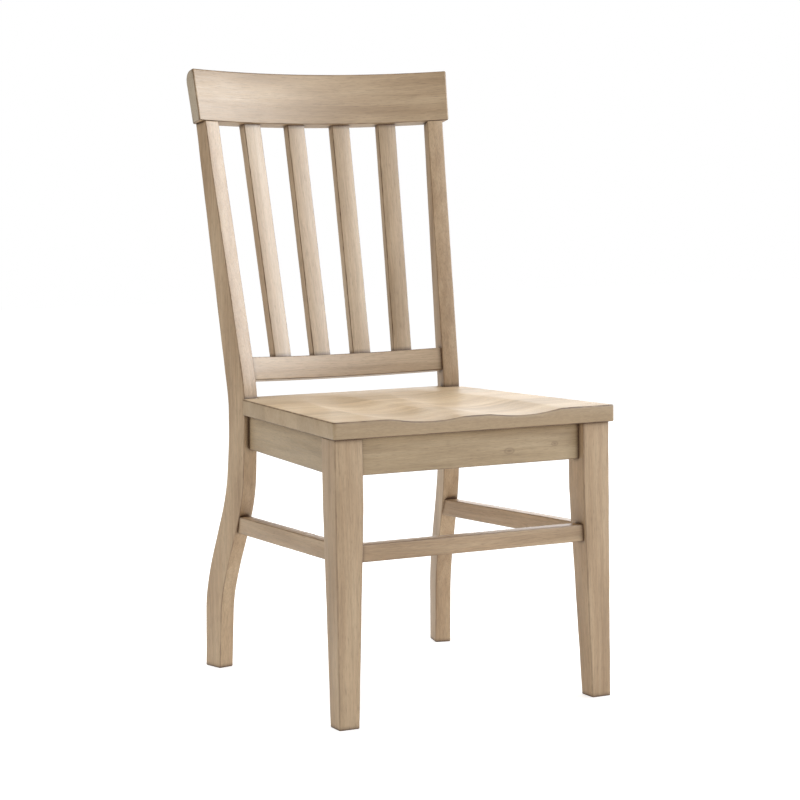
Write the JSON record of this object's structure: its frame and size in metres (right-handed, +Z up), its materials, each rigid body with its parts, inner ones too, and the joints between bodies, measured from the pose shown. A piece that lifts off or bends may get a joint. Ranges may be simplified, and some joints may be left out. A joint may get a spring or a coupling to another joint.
{
  "type": "dining chair",
  "caption": "Slat-back wooden dining chair with a scooped plank seat, tapered front legs, sabre rear posts and a curved crest rail.",
  "frame": {"origin": "on the floor, under the middle of the chair's overall box", "axes": "+Z up from the floor, -Y the way the sitter faces, +X to the right of someone looking at the chair's front"},
  "size_m": [0.4772, 0.5933, 0.9948],
  "materials": {
    "seat_wood": "washed, wire-brushed, matte clear coat",
    "frame_wood": "washed, wire-brushed, matte clear coat",
    "back_wood": "washed, wire-brushed, matte clear coat",
    "block_wood": "sawn, unfinished",
    "dowel_wood": "turned, fluted stock, glued",
    "screw_steel": "zinc plated"
  },
  "bodies": {
    "root": {"seat": "seat_wood", "front_left_leg": "frame_wood", "front_right_leg": "frame_wood", "rear_left_post": "frame_wood", "rear_right_post": "frame_wood", "crest_rail": "back_wood", "back_rail": "back_wood", "slat_1": "back_wood", "slat_2": "back_wood", "slat_3": "back_wood", "slat_4": "back_wood", "front_apron": "frame_wood", "rear_apron": "frame_wood", "left_apron": "frame_wood", "right_apron": "frame_wood", "front_stretcher": "frame_wood", "left_stretcher": "frame_wood", "right_stretcher": "frame_wood", "front_left_block": "block_wood", "front_right_block": "block_wood", "rear_left_block": "block_wood", "rear_right_block": "block_wood", "apron_dowels": "dowel_wood", "stretcher_dowels": "dowel_wood", "crest_dowels": "dowel_wood", "back_rail_dowels": "dowel_wood", "block_screws": "screw_steel", "seat_screws": "screw_steel"}
  },
  "joints": []
}
